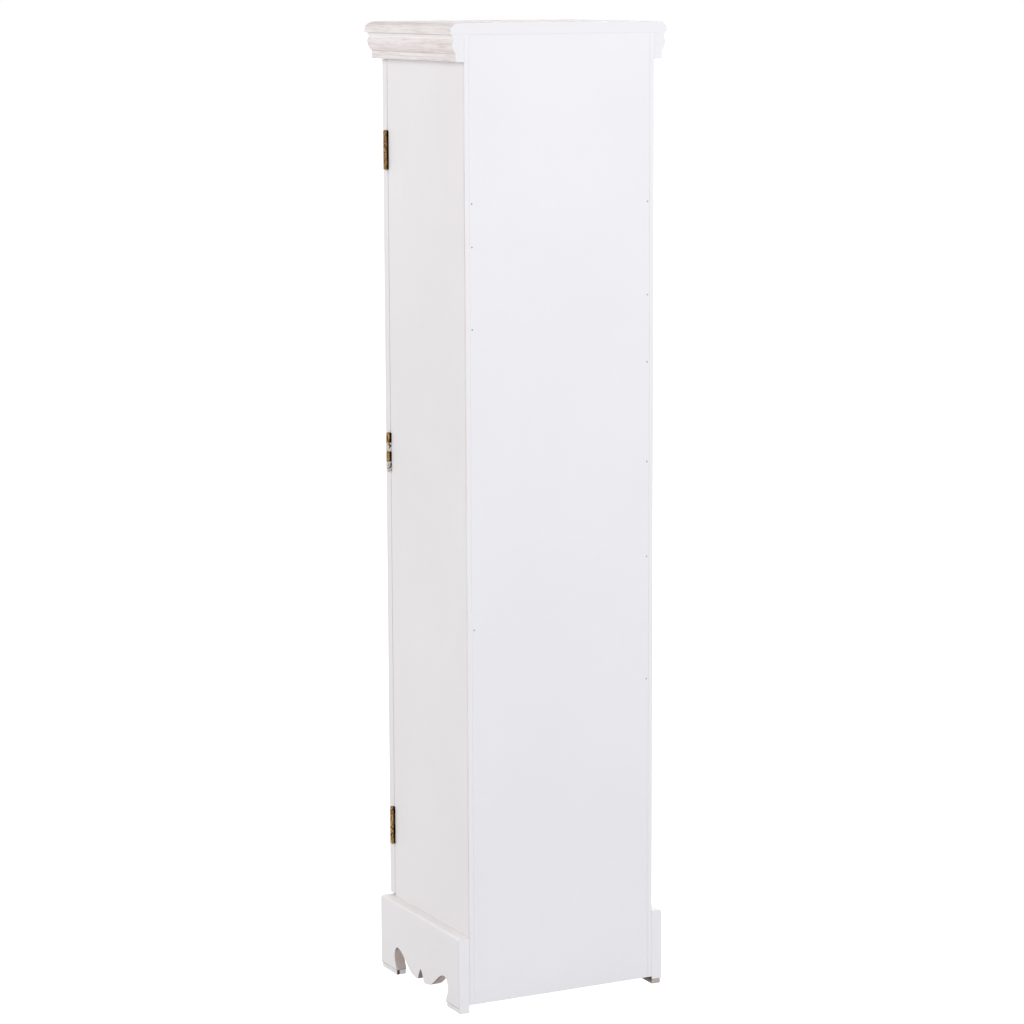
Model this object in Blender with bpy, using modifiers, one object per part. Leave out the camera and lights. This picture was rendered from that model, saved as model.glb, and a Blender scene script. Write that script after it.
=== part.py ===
"""A tall, narrow, free-standing jewelry armoire: a painted board carcass on a scalloped skirt,
under a moulded cornice, with one mirrored door on three butt hinges and a fitted inside.

World axes: +Z up, the door faces -Y, the hinges are on the +X side. The origin is on the floor,
in the middle of the whole object's footprint. All sizes are in metres.
"""

from math import acos, cos, degrees, pi, radians, sin

import bmesh
import bpy
from mathutils import Matrix, Vector

# ---------------------------------------------------------------- driving dimensions
HEIGHT = 1.240
WIDTH = 0.264  # across the outside of the two side panels
DEPTH = 0.2215  # from the back face to the front edge of the side panels
BOARD = 0.012  # side panels and shelves
DOOR_THICK = 0.0145
BACK_THICK = 0.005
FIT = 0.0003  # gap that glued or screwed neighbours keep
EDGE = 0.0008  # eased arris on every board

DOOR_GAP = 0.001  # between the door and the front edges of the carcass
KNOB_REACH = 0.020  # how far the knob stands off the door

TOP_THICK = 0.0138
NOSE_ROUND = (0.0122, 0.0102)  # the top board's rounded nose, across and up
NOSE = 0.018  # how far the top board overhangs the side panels
FRONT_NOSE = 0.0143  # how far it overhangs the door
MOULDING_HEIGHT = 0.0327

SKIRT_THICK = 0.0142
SKIRT_TOP = 0.0982
SKIRT_TOP_ROUND = 0.0040
PAD_HEIGHT = 0.0063  # the feet step in above the floor, as if they stood on pads
PAD_INSET = 0.0012
SIDE_BOTTOM = 0.050  # lower edge of the side panels, above the scallops
BACK_BOTTOM = 0.010  # lower edge of the back panel
REAR_LEG = 0.024  # strip of side panel that runs down behind each rear foot

FRAME_WIDTH = 0.040  # door stiles and rails
FRAME_REBATE = 0.008
FRAME_LIP = 0.0055  # what the rebate leaves at the front
MIRROR_THICK = 0.003
DOOR_PANEL_THICK = 0.0026

HINGE_LENGTH = 0.049
HINGE_CENTRES = {"upper": 1.078, "middle": 0.690, "lower": 0.194}
BARREL_RADIUS = 0.0028
BARREL_PROUD = 0.003  # from the side panel's face to the pin's axis
LEAF_THICK = 0.0009
LEAF_WIDTH = 0.0115
PIN_RADIUS = 0.0013
PIN_CLEARANCE = 0.0002

SHELF_SETBACK = 0.043  # shelves stop short of the door's inside fittings
SHELF_TOPS = {"lower": 0.330, "middle": 0.450, "upper": 0.640}
PEG_LENGTH = 0.034

# ---------------------------------------------------------------- places worked out from them
HALF = WIDTH / 2
INNER = HALF - BOARD
TOTAL_DEPTH = DEPTH + DOOR_GAP + DOOR_THICK + KNOB_REACH
BACK_Y = TOTAL_DEPTH / 2
CASE_FRONT = BACK_Y - DEPTH
DOOR_BACK = CASE_FRONT - DOOR_GAP
DOOR_FRONT = DOOR_BACK - DOOR_THICK
PANEL_FRONT = BACK_Y - BACK_THICK  # inner face of the back panel
TOP_UNDER = HEIGHT - TOP_THICK
CORNICE_BOTTOM = TOP_UNDER - MOULDING_HEIGHT
NOSE_Y = DOOR_FRONT - FRONT_NOSE
RAIL_FRONT = NOSE_Y + NOSE  # face of the rail that carries the front moulding
DOOR_LOW = SKIRT_TOP + 0.002
DOOR_HIGH = CORNICE_BOTTOM - 0.001
HINGE_AXIS = Vector((HALF + BARREL_PROUD, CASE_FRONT - DOOR_GAP / 2, 0))
SHELF_FRONT = CASE_FRONT + SHELF_SETBACK
REBATE = 0.006  # width of the lip that the side panels keep behind the back panel
KNOB_X = -HALF + FRAME_WIDTH / 2
KNOB_Z = 0.660

ROUND = 24  # sides of a turned part

X, Y, Z = Vector((1, 0, 0)), Vector((0, 1, 0)), Vector((0, 0, 1))


# ---------------------------------------------------------------- scene, collections, materials
def clear_scene():
    for ob in list(bpy.data.objects):
        bpy.data.objects.remove(ob, do_unlink=True)


def new_collection(name):
    collection = bpy.data.collections.new(name)
    bpy.context.scene.collection.children.link(collection)
    return collection


def new_material(name, colour, roughness, metallic=0.0):
    material = bpy.data.materials.new(name)
    material.use_nodes = True
    shader = material.node_tree.nodes["Principled BSDF"]
    shader.inputs["Base Color"].default_value = (*colour, 1.0)
    shader.inputs["Roughness"].default_value = roughness
    shader.inputs["Metallic"].default_value = metallic
    material.diffuse_color = (*colour, 1.0)
    return material


clear_scene()
PARTS = new_collection("jewelry_armoire")
CUTTERS = new_collection("cutters")

WHITE = new_material("white_paint", (0.80, 0.79, 0.80), 0.55)
LIMED = new_material("limed_wood", (0.75, 0.70, 0.67), 0.60)
BRASS = new_material("aged_brass", (0.42, 0.27, 0.11), 0.38, 1.0)
STEEL = new_material("zinc_steel", (0.62, 0.62, 0.60), 0.35, 1.0)
MIRROR = new_material("mirror_glass", (0.88, 0.90, 0.91), 0.03, 1.0)
HARDBOARD = new_material("painted_hardboard", (0.78, 0.77, 0.79), 0.62)
VELVET = new_material("grey_velvet", (0.33, 0.30, 0.33), 0.90)
PLASTIC = new_material("white_plastic", (0.82, 0.82, 0.80), 0.42)


# ---------------------------------------------------------------- modelling helpers
def add_object(name, mesh, material, matrix=Matrix()):
    ob = bpy.data.objects.new(name, mesh)
    PARTS.objects.link(ob)
    ob.matrix_world = matrix
    if material is not None and not mesh.materials:
        mesh.materials.append(material)
    return ob


def as_cutter(ob):
    PARTS.objects.unlink(ob)
    CUTTERS.objects.link(ob)
    ob.hide_render = True
    ob.display_type = "WIRE"
    return ob


def ease(ob, width=EDGE, segments=1):
    bevel = ob.modifiers.new("eased_edges", "BEVEL")
    bevel.width = width
    bevel.segments = segments
    bevel.limit_method = "ANGLE"
    bevel.angle_limit = radians(40)
    return ob


def boolean(ob, other, operation="DIFFERENCE"):
    modifier = ob.modifiers.new("boolean_" + other.name, "BOOLEAN")
    modifier.operation = operation
    modifier.solver = "EXACT"
    modifier.object = other


def box_mesh(name, size):
    mesh = bpy.data.meshes.new(name)
    bm = bmesh.new()
    bmesh.ops.create_cube(bm, size=1.0)
    bmesh.ops.scale(bm, vec=size, verts=bm.verts)
    bm.to_mesh(mesh)
    bm.free()
    return mesh


def board(name, low, high, material=None, edge=EDGE):
    """A straight board between two corners, its origin in its middle."""
    low, high = Vector(low), Vector(high)
    matrix = Matrix.Translation((low + high) / 2)
    ob = add_object(name, box_mesh(name, high - low), material or WHITE, matrix)
    return ease(ob, edge) if edge else ob


def cylinder(name, radius, length, matrix, material=None, sides=ROUND):
    """A closed cylinder along its local Z, centred on its origin."""
    mesh = bpy.data.meshes.new(name)
    bm = bmesh.new()
    bmesh.ops.create_cone(
        bm, cap_ends=True, segments=sides, radius1=radius, radius2=radius, depth=length
    )
    bm.to_mesh(mesh)
    bm.free()
    shade(mesh)
    return add_object(name, mesh, material, matrix)


def frame_matrix(origin, along_x, along_y, along_z):
    """Places local x, y and z along three world directions."""
    matrix = Matrix((along_x, along_y, along_z)).transposed().to_4x4()
    matrix.translation = origin
    return matrix


def eased(outline, sharp=(), width=EDGE):
    """The outline with its outward corners cut back by width, apart from those listed in sharp."""
    corners = [Vector(point) for point in outline]
    count = len(corners)
    area = sum(corners[i - 1].cross(corners[i]) for i in range(count))
    points = []
    for i, corner in enumerate(corners):
        before = (corner - corners[i - 1]).normalized()
        after = (corners[(i + 1) % count] - corner).normalized()
        turn = before.cross(after) * (1 if area > 0 else -1)
        cut_back = turn > 0.7 and i not in sharp
        points += [corner - before * width, corner + after * width] if cut_back else [corner]
    return points


def shade(mesh, angle=32):
    """Smooth shading over round stretches, with every corner above angle left sharp."""
    mesh.shade_smooth()
    mesh.set_sharp_from_angle(angle=radians(angle))


def outline_mesh(name, points, length):
    """A flat outline with a thickness of length along Z, from an extruded 2D curve."""
    curve = bpy.data.curves.new(name, "CURVE")
    curve.dimensions = "2D"
    curve.fill_mode = "BOTH"
    curve.extrude = length / 2
    spline = curve.splines.new("POLY")
    spline.points.add(len(points) - 1)
    for point, (x, y) in zip(spline.points, points):
        point.co = (x, y, 0, 1)
    spline.use_cyclic_u = True
    source = bpy.data.objects.new(name + "_outline", curve)
    bpy.context.scene.collection.objects.link(source)
    bpy.context.view_layer.update()
    depsgraph = bpy.context.evaluated_depsgraph_get()
    mesh = bpy.data.meshes.new_from_object(source.evaluated_get(depsgraph))
    mesh.name = name
    bpy.data.objects.remove(source)
    bpy.data.curves.remove(curve)
    bm = bmesh.new()
    bm.from_mesh(mesh)
    bmesh.ops.remove_doubles(bm, verts=bm.verts, dist=1e-6)
    bmesh.ops.recalc_face_normals(bm, faces=bm.faces)
    bm.to_mesh(mesh)
    bm.free()
    shade(mesh)
    return mesh


def strip(name, profile, length, origin, out, up, mitre_start=0, mitre_end=0, material=None):
    """A moulding: profile (out, up) run along out x up from origin, for length at out = 0.

    A mitre of 1 makes that end longer with the distance out, -1 makes it shorter, 0 is square.
    """
    mesh = outline_mesh(name, profile, length)
    for vertex in mesh.vertices:
        vertex.co.z += vertex.co.x * (mitre_end if vertex.co.z > 0 else -mitre_start)
    along = out.cross(up)
    matrix = frame_matrix(origin + along * length / 2, out, up, along)
    return add_object(name, mesh, material or WHITE, matrix)


def turned(name, profile, origin, axis, material, sides=ROUND):
    """A lathe-turned part: profile is (radius, height) from top to bottom on its outer side."""
    mesh = bpy.data.meshes.new(name)
    bm = bmesh.new()
    vertices = [bm.verts.new((radius, 0, height)) for radius, height in profile]
    for first, second in zip(vertices, vertices[1:]):
        bm.edges.new((first, second))
    bm.to_mesh(mesh)
    bm.free()
    matrix = Matrix.Translation(origin) @ Z.rotation_difference(axis).to_matrix().to_4x4()
    ob = add_object(name, mesh, material, matrix)
    screw = ob.modifiers.new("turning", "SCREW")
    screw.axis = "Z"
    screw.steps = sides
    screw.render_steps = sides
    screw.use_merge_vertices = True
    screw.merge_threshold = 0.00002
    screw.use_smooth_shade = True
    return ob


def arc(centre_x, centre_y, radius_x, radius_y, start, end, steps):
    """Points on an elliptical arc, angles in degrees."""
    points = []
    for i in range(steps + 1):
        angle = radians(start + (end - start) * i / steps)
        points.append((centre_x + radius_x * cos(angle), centre_y + radius_y * sin(angle)))
    return points


# ---------------------------------------------------------------- carcass
def side_panels():
    """Two side panels, rebated at the back for the back panel and cut away above the scallops."""
    height = TOP_UNDER - FIT - BACK_BOTTOM
    waste = board(
        "side_bottom_waste",
        (-HALF - 0.01, CASE_FRONT - 0.01, BACK_BOTTOM - 0.01),
        (HALF + 0.01, BACK_Y - REAR_LEG, SIDE_BOTTOM),
        edge=0,
    )
    as_cutter(waste)
    panels = {}
    for side, sign in (("right", 1), ("left", -1)):
        # Local x runs out from the inner face, local y runs up the panel, z along its depth.
        profile = [
            (INNER * sign, CASE_FRONT),
            (HALF * sign, CASE_FRONT),
            (HALF * sign, BACK_Y),
            ((HALF - REBATE) * sign, BACK_Y),
            ((HALF - REBATE) * sign, PANEL_FRONT - FIT),
            (INNER * sign, PANEL_FRONT - FIT),
        ]
        name = "side_panel_" + side
        lip_corner = 3
        mesh = outline_mesh(name, eased(profile, sharp=(lip_corner,)), height)
        panel = add_object(name, mesh, WHITE, Matrix.Translation((0, 0, BACK_BOTTOM + height / 2)))
        boolean(panel, waste)
        panels[side] = panel
    return panels


def carcass_boards():
    inner = INNER - FIT
    board(
        "back_panel",
        (-(HALF - REBATE - FIT), PANEL_FRONT, BACK_BOTTOM),
        (HALF - REBATE - FIT, BACK_Y, TOP_UNDER - FIT),
        HARDBOARD,
        edge=0.0002,
    )
    board(
        "floor_board",
        (-inner, CASE_FRONT, SKIRT_TOP - BOARD),
        (inner, PANEL_FRONT - FIT, SKIRT_TOP),
    )
    cleat = 0.014
    for side, sign in (("right", 1), ("left", -1)):
        near, far = sorted((sign * inner, sign * (inner - cleat)))
        low = SKIRT_TOP - BOARD - FIT - cleat
        board(
            "floor_cleat_" + side,
            (near, CASE_FRONT + 0.020, low),
            (far, PANEL_FRONT - 0.020, low + cleat),
        )
    board(
        "front_top_rail",
        (-HALF + FIT, RAIL_FRONT + FIT, CORNICE_BOTTOM),
        (HALF - FIT, CASE_FRONT - FIT, TOP_UNDER - FIT),
    )


def top_board():
    """The lid, with a rounded nose along its front and both ends and a square back edge."""
    across, up = NOSE_ROUND
    loops = [(0, TOP_UNDER)]
    loops += [(across - x, HEIGHT - up + z) for x, z in arc(0, 0, across, up, 0, 90, 10)]
    mesh = bpy.data.meshes.new("top_board")
    bm = bmesh.new()
    rings = []
    for inset, z in loops:
        half = HALF + NOSE - inset
        corners = ((half, BACK_Y), (half, NOSE_Y + inset), (-half, NOSE_Y + inset), (-half, BACK_Y))
        rings.append([bm.verts.new((x, y, z)) for x, y in corners])
    for lower, upper in zip(rings, rings[1:]):
        for i in range(3):
            bm.faces.new((lower[i], lower[i + 1], upper[i + 1], upper[i]))
    bm.faces.new(rings[0])
    bm.faces.new(rings[-1])
    bm.faces.new([ring[0] for ring in rings] + [ring[3] for ring in reversed(rings)])
    bmesh.ops.recalc_face_normals(bm, faces=bm.faces)
    bm.to_mesh(mesh)
    bm.free()
    shade(mesh)
    add_object("top_board", mesh, LIMED)


def cornice_mouldings():
    """Bed moulding under the lid: a fillet, a quirk, a long round and a band that leans out."""
    top = MOULDING_HEIGHT - FIT
    fillet, foot_round, quirk = 0.0107, 0.0016, 0.0005
    round_low, widest, round_high = 0.0100, 0.0222, 0.0282
    bulge, inside, round_end = 0.0150, 0.0140, 0.0131
    band_low, band_foot, band_head = 0.0286, 0.0137, 0.0152
    profile = [(0, 0)]
    profile += arc(fillet - foot_round, foot_round, foot_round, foot_round, -90, 0, 4)
    profile += [(fillet, round_low - quirk), (fillet - quirk, round_low - quirk)]
    centre = bulge - inside
    start = acos((fillet - centre) / inside)
    profile += arc(centre, widest, inside, (widest - round_low) / sin(start), -degrees(start), 0, 9)
    end = acos((round_end - centre) / inside)
    rise = (round_high - widest) / sin(end)
    profile += arc(centre, widest, inside, rise, degrees(end) / 4, degrees(end), 3)
    profile += [(band_foot, band_low), (band_head, top), (0, top)]
    side_length = BACK_Y - RAIL_FRONT
    z = CORNICE_BOTTOM * Z
    runs = (
        ("right", X * (HALF + FIT) + Y * BACK_Y, X, side_length, 0, 1),
        ("front", X * HALF + Y * RAIL_FRONT, -Y, WIDTH, 1, 1),
        ("left", X * (-HALF - FIT) + Y * RAIL_FRONT, -X, side_length, 1, 0),
    )
    for side, start, out, length, mitre_start, mitre_end in runs:
        strip(
            "cornice_moulding_" + side, profile, length, start + z, out, Z,
            mitre_start, mitre_end, LIMED,
        )


# ---------------------------------------------------------------- scalloped skirt
SIDE_FOOT = (0.0436, 0.0376)  # a foot's width at its bottom and at its neck
FRONT_FOOT = (0.0255, 0.0205)
ARCH_HEIGHT = 0.0385
NECK_HEIGHT = 0.024
LOBE_HEIGHT = 0.0138
NOTCH_HEIGHT = 0.029
NOTCH_HALF = 0.0080
LOBE_END = 0.020
ARCH_SHOULDER = 0.0100  # from the top of an arch to the foot's narrowest place
SIDE_SHIFT = 0.0036  # the side boards' pattern sits this far behind their middle


def scallop(half, foot):
    """Half of the lower edge of a skirt board, from its middle to the bottom of the foot."""
    notch_steps, lobe_steps, ogee_steps, neck_steps = 5, 4, 14, 6
    foot_width, foot_neck = foot
    points = []
    for i in range(notch_steps + 1):
        rise = 1 - i / notch_steps
        height = LOBE_HEIGHT + (NOTCH_HEIGHT - LOBE_HEIGHT) * rise
        points.append((NOTCH_HALF * (1 - rise**1.7), height))
    for i in range(1, lobe_steps):
        t = i / lobe_steps
        along = NOTCH_HALF + (LOBE_END - NOTCH_HALF) * t
        points.append((along, LOBE_HEIGHT - 0.0012 * sin(pi * t)))
    peak = half - foot_neck - ARCH_SHOULDER
    for i in range(ogee_steps + 1):
        t = i / ogee_steps
        rise = (1 - cos(pi * t)) / 2
        points.append(
            (LOBE_END + (peak - LOBE_END) * t, LOBE_HEIGHT + (ARCH_HEIGHT - LOBE_HEIGHT) * rise)
        )
    neck = half - foot_neck
    shoulder = arc(peak, NECK_HEIGHT, neck - peak, ARCH_HEIGHT - NECK_HEIGHT, 90, 0, 8)
    points += shoulder[1:]
    for i in range(1, neck_steps + 1):
        t = i / neck_steps
        flare = (foot_width - foot_neck) * (1 - cos(pi * t)) / 2
        points.append((neck - flare, NECK_HEIGHT + (PAD_HEIGHT - NECK_HEIGHT) * t))
    pad_end = half - foot_width + PAD_INSET
    return points + [(pad_end, PAD_HEIGHT), (pad_end, 0)]


def skirts():
    """Skirt boards round the front and both sides, mitred at the front corners."""
    pad = SKIRT_THICK - PAD_INSET
    profile = [(0, 0), (pad, 0), (pad, PAD_HEIGHT), (SKIRT_THICK, PAD_HEIGHT)]
    profile.append((SKIRT_THICK, SKIRT_TOP - SKIRT_TOP_ROUND))
    profile += arc(
        SKIRT_THICK - SKIRT_TOP_ROUND, SKIRT_TOP - SKIRT_TOP_ROUND,
        SKIRT_TOP_ROUND, SKIRT_TOP_ROUND, 20, 90, 4,
    )
    profile.append((0, SKIRT_TOP))
    runs = (
        ("right", X * (HALF + FIT) + Y * BACK_Y, X, DEPTH, 0, 1),
        ("front", X * HALF + Y * (CASE_FRONT - FIT), -Y, WIDTH, 1, 1),
        ("left", X * (-HALF - FIT) + Y * CASE_FRONT, -X, DEPTH, 1, 0),
    )
    for side, start, out, length, mitre_start, mitre_end in runs:
        name = "skirt_" + side
        skirt = strip(name, profile, length, start, out, Z, mitre_start, mitre_end)
        half = (length + SKIRT_THICK * (mitre_start + mitre_end)) / 2
        foot = FRONT_FOOT if side == "front" else SIDE_FOOT
        right = scallop(half, foot)
        right.append((right[-1][0], -0.01))
        outline = right + [(-x, y) for x, y in reversed(right) if x > 0]
        along = out.cross(Z)
        middle = start + along * (length + SKIRT_THICK * (mitre_end - mitre_start)) / 2
        if side != "front":
            middle += Y * SIDE_SHIFT
        cutter = add_object(
            name + "_scallop",
            outline_mesh(name + "_scallop", outline, 0.06),
            None,
            frame_matrix(middle, along, Z, along.cross(Z)),
        )
        as_cutter(cutter)
        boolean(skirt, cutter)
        ease(skirt, 0.0004)


# ---------------------------------------------------------------- shelves and inside fittings
def shelves():
    inner = INNER - FIT
    back = PANEL_FRONT - FIT
    for level, top in SHELF_TOPS.items():
        board("shelf_" + level, (-inner, SHELF_FRONT, top - BOARD), (inner, back, top))
    board(
        "lower_divider",
        (-BOARD / 2, SHELF_FRONT + 0.004, SKIRT_TOP + FIT),
        (BOARD / 2, back - FIT, SHELF_TOPS["lower"] - BOARD - FIT),
    )
    lip_thick, lip_height = 0.008, 0.026
    ring_top = SHELF_TOPS["lower"]
    board(
        "ring_shelf_lip",
        (-inner, SHELF_FRONT - lip_thick - FIT, ring_top - BOARD),
        (inner, SHELF_FRONT - FIT, ring_top + lip_height),
        edge=0.0015,
    )


def velvet_pads():
    """Thin velvet-covered pads on the upper shelf and on both halves of the cabinet's floor."""
    inset, thick = 0.0015, 0.005
    inner = INNER - FIT - inset
    beside_divider = BOARD / 2 + FIT + inset
    pads = (
        ("shelf_pad", -inner, inner, SHELF_TOPS["upper"]),
        ("floor_pad_right", beside_divider, inner, SKIRT_TOP),
        ("floor_pad_left", -inner, -beside_divider, SKIRT_TOP),
    )
    for name, near, far, top in pads:
        board(
            name, (near, SHELF_FRONT + inset, top + FIT),
            (far, PANEL_FRONT - FIT - inset, top + FIT + thick), VELVET, edge=0.0012,
        )


def ring_rolls():
    """Four padded rolls side by side on the lower shelf; rings are pushed between them."""
    count, gap, height = 4, 0.0012, 0.026
    front, back = SHELF_FRONT + 0.001, PANEL_FRONT - 0.002
    pitch = (back - front) / count
    half_depth = (pitch - gap) / 2
    low = 0.003
    profile = [(-half_depth * 0.72, 0), (half_depth * 0.72, 0), (half_depth, low)]
    profile += arc(0, low + 0.004, half_depth, height - low - 0.004, 12, 168, 8)
    profile.append((-half_depth, low))
    length = 2 * (INNER - 0.002)
    for i in range(count):
        centre = Vector((0, front + pitch * (i + 0.5), SHELF_TOPS["lower"] + FIT))
        name = f"ring_roll_{i + 1}"
        mesh = outline_mesh(name, profile, length)
        add_object(name, mesh, VELVET, frame_matrix(centre, Y, Z, X))


def bracelet_bar(panels):
    """A padded round bar whose ends sit in shallow sockets in the side panels."""
    radius, socket = 0.013, 0.004
    centre = Vector((0, 0.030, 0.570))
    across = frame_matrix(centre, Y, Z, X)
    seat = cylinder("bar_socket", radius + FIT, 2 * (INNER + socket), across)
    as_cutter(seat)
    for panel in panels.values():
        boolean(panel, seat)
    cylinder("bracelet_bar", radius, 2 * (INNER + socket - FIT), across, VELVET)


def peg_profile():
    """Outline of a turned brass peg, from the tip of its head down to its back face."""
    flange, stem, head, base = 0.0050, 0.0022, 0.0046, 0.0018
    top = PEG_LENGTH
    points = [(0, top)]
    points += [(head * sin(radians(a)), top - 0.0016 * (1 - cos(radians(a)))) for a in (35, 70)]
    points += [(head, top - 0.0026), (stem, top - 0.0046), (stem, base + 0.0016)]
    points += [(flange * 0.8, base), (flange, base * 0.4), (flange, 0), (0, 0)]
    return points


def peg_rails():
    """A rail of pegs for necklaces on the back panel, and a shorter one inside the door."""
    rail_high, rail_thick = 0.032, 0.012
    rail_half = INNER - 0.006
    rail_z = 1.135
    rail_front = PANEL_FRONT - FIT - rail_thick
    board(
        "necklace_rail", (-rail_half, rail_front, rail_z - rail_high / 2),
        (rail_half, PANEL_FRONT - FIT, rail_z + rail_high / 2), edge=0.002,
    )
    for i in range(5):
        at = Vector(((i - 2) * 0.046, rail_front - FIT, rail_z))
        turned(f"necklace_peg_{i + 1}", peg_profile(), at, -Y, BRASS, 12)


def door_peg_rail():
    rail_high, rail_thick, rail_half, rail_z = 0.028, 0.006, 0.076, 0.980
    low = DOOR_BACK + FIT
    parts = [
        board(
            "door_peg_rail", (-rail_half, low, rail_z - rail_high / 2),
            (rail_half, low + rail_thick, rail_z + rail_high / 2), edge=0.0015,
        )
    ]
    for i in range(3):
        at = Vector(((i - 1) * 0.050, low + rail_thick + FIT, rail_z))
        peg = turned(f"door_peg_{i + 1}", peg_profile(), at, Y, BRASS, 12)
        parts.append(peg)
    return parts


# ---------------------------------------------------------------- door
def door_frame():
    """Four mitred frame members, rebated at the back for the mirror and its backing."""
    lip = FRAME_WIDTH - FRAME_REBATE
    profile = [
        (0, 0), (lip, 0), (lip, DOOR_THICK - FRAME_LIP),
        (FRAME_WIDTH, DOOR_THICK - FRAME_LIP), (FRAME_WIDTH, DOOR_THICK), (0, DOOR_THICK),
    ]
    height = DOOR_HIGH - DOOR_LOW
    runs = (
        ("door_stile_hinge", X * HALF + Z * DOOR_LOW, -X, height),
        ("door_rail_top", X * HALF + Z * DOOR_HIGH, -Z, WIDTH),
        ("door_stile_latch", -X * HALF + Z * DOOR_HIGH, X, height),
        ("door_rail_bottom", -X * HALF + Z * DOOR_LOW, Z, WIDTH),
    )
    members = {}
    for name, start, inward, length in runs:
        # Local y runs from the door's back face to its front face.
        at = start + Y * DOOR_BACK
        members[name] = framing(name, eased(profile), length, at, inward)
    return members


def framing(name, profile, length, start, inward):
    """A strip of a mitred frame, with half the fitting gap taken off each mitre."""
    member = strip(name, profile, length, start, inward, -Y, -1, -1)
    for vertex in member.data.vertices:
        vertex.co.z -= (FIT / 2) * (1 if vertex.co.z > 0 else -1)
    return member


def mirror_and_beads():
    """The mirror and its backing lie in the rebate; a quarter-round bead frames the mirror."""
    rebate = FRAME_WIDTH - FRAME_REBATE + FIT
    low_x, low_z = -HALF + rebate, DOOR_LOW + rebate
    high_x, high_z = HALF - rebate, DOOR_HIGH - rebate
    mirror_front = DOOR_FRONT + FRAME_LIP + FIT
    mirror_back = mirror_front + MIRROR_THICK
    panel_front = mirror_back + FIT
    parts = [
        board("mirror", (low_x, mirror_front, low_z), (high_x, mirror_back, high_z), MIRROR, 0.0005),
        board(
            "mirror_backing", (low_x, panel_front, low_z),
            (high_x, panel_front + DOOR_PANEL_THICK, high_z), HARDBOARD, 0.0004,
        ),
    ]
    bead_width, bead_high = 0.007, 0.005
    profile = [(0, 0), (bead_width, 0)] + arc(0, 0, bead_width, bead_high, 14, 90, 5)
    inset = FRAME_WIDTH + FIT
    width = WIDTH - 2 * inset
    height = DOOR_HIGH - DOOR_LOW - 2 * inset
    right, left = X * (HALF - inset), X * (-HALF + inset)
    low, high = Z * (DOOR_LOW + inset), Z * (DOOR_HIGH - inset)
    runs = (
        ("right", right + low, -X, height),
        ("top", right + high, -Z, width),
        ("left", left + high, X, height),
        ("bottom", left + low, Z, width),
    )
    for side, start, inward, length in runs:
        at = start + Y * (mirror_front - FIT)
        parts.append(framing("mirror_bead_" + side, profile, length, at, inward))
    return parts


def knob_and_screw(stile):
    """A turned knob, held from inside the door by one machine screw."""
    shaft, clearance = 0.0020, 0.0003
    bore = shaft + clearance
    drill = cylinder(
        "knob_drill", bore, 3 * DOOR_THICK,
        frame_matrix(Vector((KNOB_X, DOOR_FRONT, KNOB_Z)), X, -Z, Y), sides=16,
    )
    as_cutter(drill)
    boolean(stile, drill)
    tall, blind = KNOB_REACH - FIT, 0.009
    profile = [(0, tall)]
    profile += [
        (0.0110 * sin(radians(a)), tall - 0.0065 * (1 - cos(radians(a))))
        for a in range(15, 91, 15)
    ]
    profile += [(0.0100, tall - 0.0095), (0.0052, tall - 0.0130), (0.0046, 0.0045)]
    profile += [(0.0070, 0.0025), (0.0082, 0.0012), (0.0082, 0), (bore, 0), (bore, blind), (0, blind)]
    knob = turned("knob", profile, Vector((KNOB_X, DOOR_FRONT - FIT, KNOB_Z)), -Y, BRASS)
    head, head_high = 0.0042, 0.0022
    length = DOOR_THICK + FIT + 0.007
    profile = [
        (0, head_high), (head * 0.7, head_high * 0.85), (head, head_high * 0.4), (head, FIT),
        (shaft, FIT), (shaft, -length), (0, -length),
    ]
    screw = turned("knob_screw", profile, Vector((KNOB_X, DOOR_BACK, KNOB_Z)), Y, STEEL, 16)
    return [knob, screw]


def magnetic_catch():
    """The magnet on the left side panel, and its strike plate on the back of the door."""
    half_high, z = 0.022, KNOB_Z + 0.060
    strike_thick, strike_half = 0.0011, 0.0055
    strike_x = -INNER + 0.0075
    strike_back = DOOR_BACK + FIT
    board(
        "catch_magnet",
        (-INNER + FIT, strike_back + strike_thick + FIT, z - half_high),
        (-INNER + 0.0145, strike_back + strike_thick + 0.0140, z + half_high),
        PLASTIC, edge=0.001,
    )
    strike = board(
        "catch_strike",
        (strike_x - strike_half, strike_back, z - half_high * 0.8),
        (strike_x + strike_half, strike_back + strike_thick, z + half_high * 0.8),
        STEEL, edge=0.0003,
    )
    return [strike]


# ---------------------------------------------------------------- hinges
def finished_mesh(ob):
    """The mesh that an object's modifiers give, in world coordinates."""
    bpy.context.view_layer.update()
    depsgraph = bpy.context.evaluated_depsgraph_get()
    mesh = bpy.data.meshes.new_from_object(ob.evaluated_get(depsgraph))
    mesh.transform(ob.matrix_world)
    mesh.materials.clear()
    return mesh


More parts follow.
